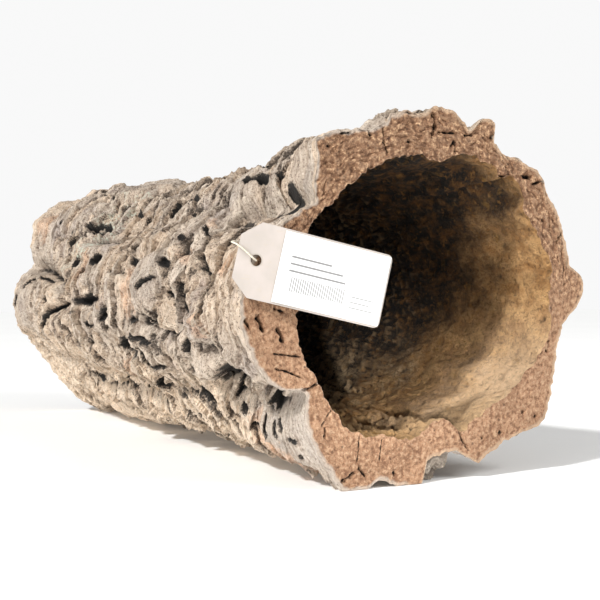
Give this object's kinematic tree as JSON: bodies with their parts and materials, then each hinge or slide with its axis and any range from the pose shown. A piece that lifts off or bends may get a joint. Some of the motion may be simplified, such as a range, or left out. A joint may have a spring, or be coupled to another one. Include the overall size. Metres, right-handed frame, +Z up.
{
  "type": "cork bark tube",
  "caption": "Hollow length of rough virgin cork bark, sawn square at both ends and open right through, lying on its side, with a blank hang tag tied at its mouth.",
  "frame": {"origin": "on the surface it lies on, under the middle of the whole object's box", "axes": "+Y along the tube from its mouth to its back end, +Z up, +X to the right as seen looking into the mouth"},
  "size_m": [0.168, 0.3624, 0.1491],
  "materials": {
    "cork_bark": "rough weathered cork bark, grey-tan outside, orange-tan where sawn, brown inside",
    "tag_board": "smooth cream board",
    "label_paper": "semi-gloss white label paper with plain printed lines and bars",
    "thread_fibre": "fine off-white thread"
  },
  "bodies": {
    "root": {"cork_tube": "cork_bark", "tag_card": "tag_board", "tag_label": "label_paper", "tag_thread": "thread_fibre"}
  },
  "joints": []
}
